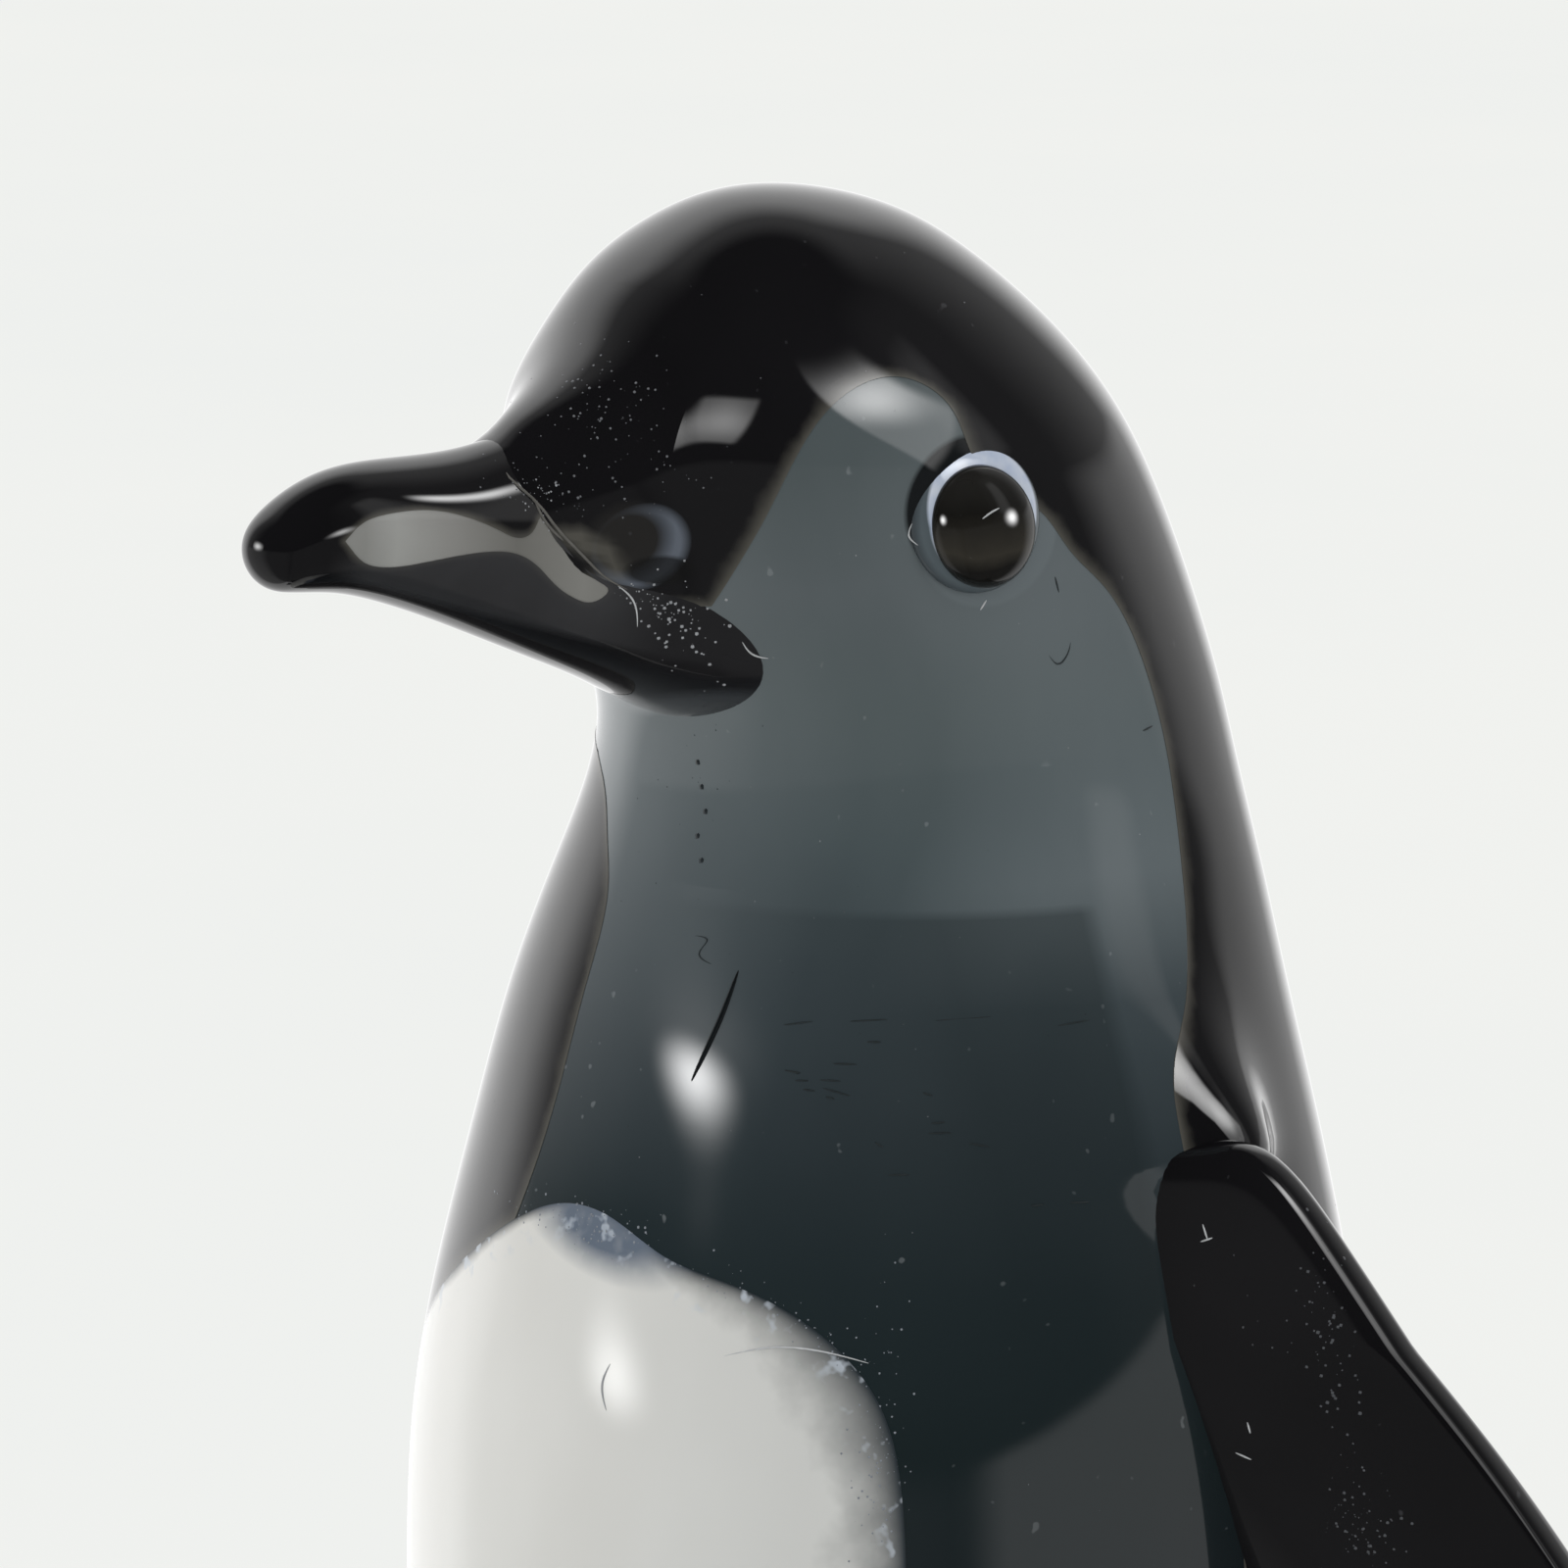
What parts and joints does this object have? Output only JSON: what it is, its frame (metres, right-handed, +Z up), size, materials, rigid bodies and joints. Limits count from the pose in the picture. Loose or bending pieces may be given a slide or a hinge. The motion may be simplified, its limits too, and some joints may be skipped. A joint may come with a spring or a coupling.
{
  "type": "glass penguin figurine",
  "caption": "Standing penguin in solid hot-worked glass with flush black, grey and white colours, drooping smoky bill, bead eyes and spread flippers",
  "frame": {"origin": "middle of the ground flat under the bird", "axes": "+Z up through the body, the bird faces -Y, its left side is +X"},
  "size_m": [0.1268, 0.0977, 0.1754],
  "materials": {
    "slate_glass": "fire-polished, clouded slate grey",
    "black_glass": "fire-polished, deep black",
    "opal_glass": "fire-polished, opaque warm white",
    "smoky_glass": "fire-polished, clear smoky grey",
    "milky_glass": "fire-polished, bluish milky"
  },
  "bodies": {
    "root": {"body_core": "slate_glass", "back_mantle": "black_glass", "belly_patch": "opal_glass", "bill_core": "smoky_glass", "bill_overlay": "black_glass", "eye_ring_left": "milky_glass", "eye_ring_right": "milky_glass", "eye_bead_left": "black_glass", "eye_bead_right": "black_glass", "flipper_left": "black_glass", "flipper_right": "black_glass", "foot_left": "black_glass", "foot_right": "black_glass", "tail": "black_glass"}
  },
  "joints": []
}
